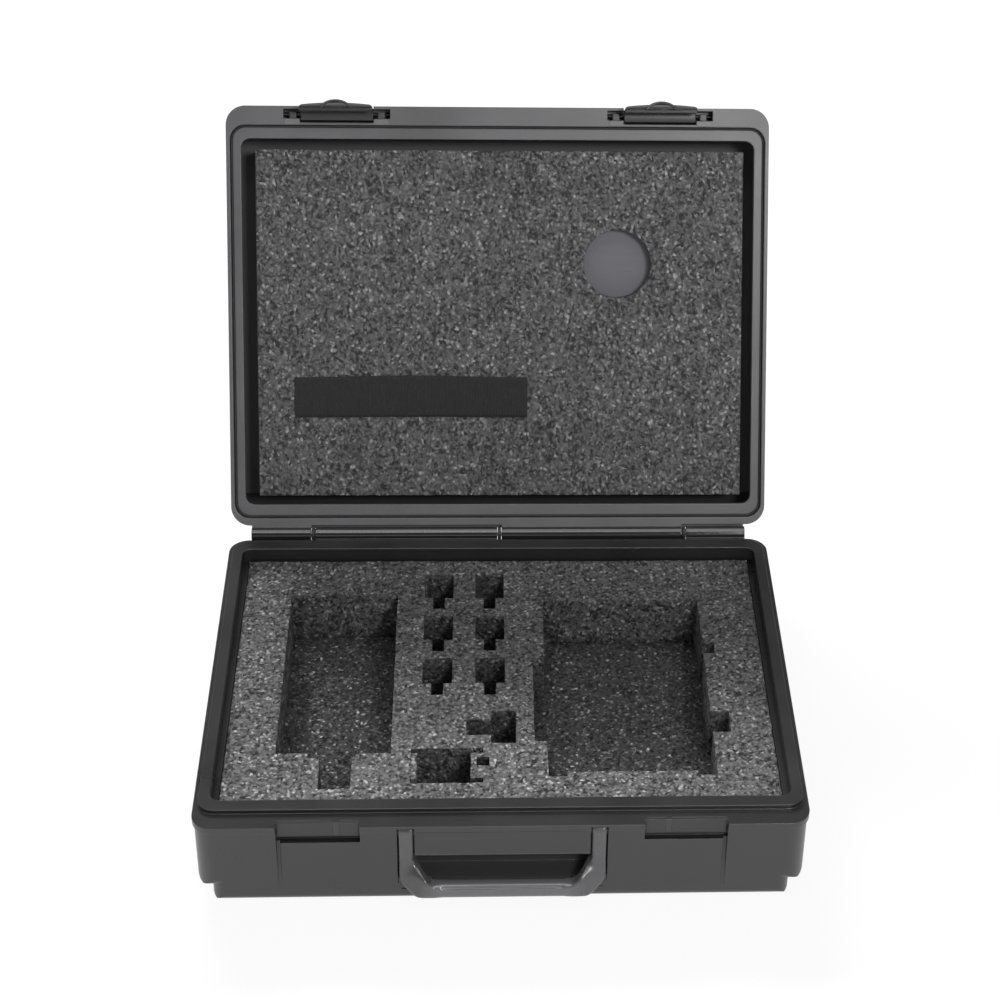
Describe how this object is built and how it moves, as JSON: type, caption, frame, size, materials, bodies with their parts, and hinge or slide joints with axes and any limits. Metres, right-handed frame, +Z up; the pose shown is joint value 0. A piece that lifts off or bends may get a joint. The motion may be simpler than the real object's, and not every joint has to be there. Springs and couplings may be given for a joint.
{
  "type": "instrument carrying case",
  "caption": "Open hard plastic instrument case: die-cut foam in the base, foam-lined leaning lid with strap and round opening, draw latches and a drop handle.",
  "frame": {"origin": "centre of the flat underside of the base, which stands on the surface", "axes": "+X along the width to the right of someone facing the handle, +Y from the handle side to the hinge side, +Z up"},
  "size_m": [0.38, 0.4873, 0.3383],
  "materials": {
    "base_plastic": "fine matt moulded texture, charcoal",
    "lid_plastic": "fine matt moulded texture, charcoal",
    "latch_plastic": "satin black moulding",
    "catch_plastic": "matt charcoal moulding",
    "handle_plastic": "satin dark grey moulding",
    "cut_foam": "open-cell grey foam with pale and dark flecks",
    "pad_foam": "open-cell charcoal foam",
    "lining_foam": "open-cell charcoal foam with pale flecks",
    "board": "smooth sheet, purplish grey",
    "elastic": "ribbed woven elastic, black",
    "steel": "bright drawn wire"
  },
  "bodies": {
    "base": {"base_shell": "base_plastic", "base_foam_pad": "pad_foam", "base_foam_insert": "cut_foam", "catch_plate_left": "catch_plastic", "catch_plate_right": "catch_plastic", "catch_block_left": "catch_plastic", "catch_block_right": "catch_plastic", "handle_pin_left": "steel", "handle_pin_right": "steel", "hinge_rod": "steel"},
    "lid": {"lid_shell": "lid_plastic", "lid_foam_backer": "pad_foam", "lid_backing_board": "board", "lid_foam_pad": "lining_foam", "elastic_strap": "elastic", "strap_clamp_left": "steel", "strap_clamp_right": "steel", "latch_pin_left": "steel", "latch_pin_right": "steel"},
    "carrying_handle": {"handle": "handle_plastic"},
    "left_latch": {"latch_lever_left": "latch_plastic"},
    "right_latch": {"latch_lever_right": "latch_plastic"}
  },
  "joints": [
    {"name": "lid_hinge", "type": "hinge", "parent": "base", "child": "lid", "pos_m": [0, 0.154, 0.0622], "axis": [1, 0, 0], "range_deg": [0, 118]},
    {"name": "handle_hinge", "type": "hinge", "parent": "base", "child": "carrying_handle", "pos_m": [0, -0.1419, 0.054], "axis": [-1, 0, 0], "range_deg": [0, 92]},
    {"name": "left_latch_hinge", "type": "hinge", "parent": "lid", "child": "left_latch", "pos_m": [-0.113, 0.3002, 0.31948], "axis": [1, 0, 0], "range_deg": [-30, 6]},
    {"name": "right_latch_hinge", "type": "hinge", "parent": "lid", "child": "right_latch", "pos_m": [0.113, 0.3002, 0.31948], "axis": [1, 0, 0], "range_deg": [-30, 6]}
  ]
}
